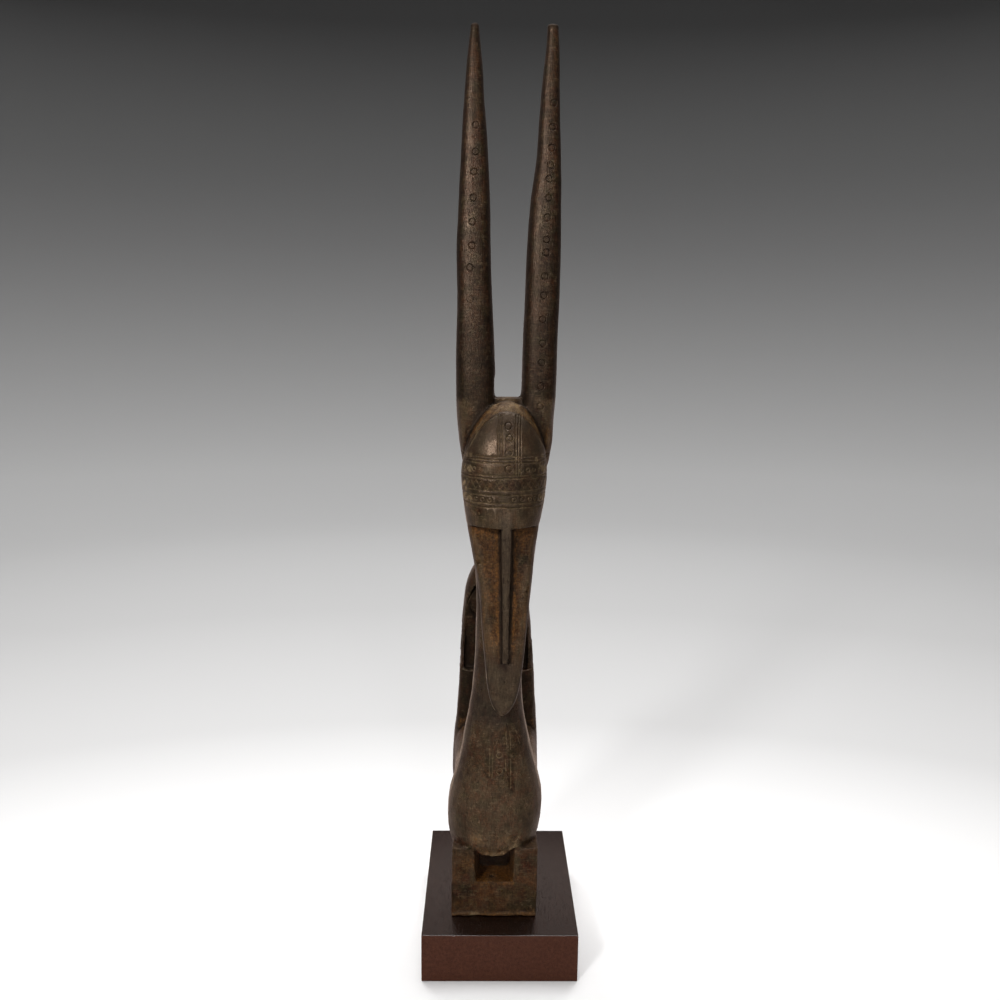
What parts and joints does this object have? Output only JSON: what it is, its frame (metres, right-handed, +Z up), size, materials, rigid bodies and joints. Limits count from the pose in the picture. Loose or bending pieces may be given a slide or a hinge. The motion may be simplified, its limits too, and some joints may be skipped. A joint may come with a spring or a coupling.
{
  "type": "chiwara headdress",
  "caption": "Upright antelope dance crest with tall horns and a young animal on its back, carved in dark patinated hardwood and standing on a plain stained plinth.",
  "frame": {"origin": "centre of the plinth's underside", "axes": "+Z up along the carving, -Y towards the front of the antelope, +X to its left side"},
  "size_m": [0.1396, 0.183, 0.8324],
  "materials": {
    "patinated_hardwood": "dark brown carved hardwood, handled to a satin sheen, with worn orange-brown edges and a grey-brown patina",
    "stained_hardwood": "smooth block stained dark red-brown under a semi-gloss lacquer"
  },
  "bodies": {
    "root": {"carving": "patinated_hardwood", "plinth": "stained_hardwood"}
  },
  "joints": []
}
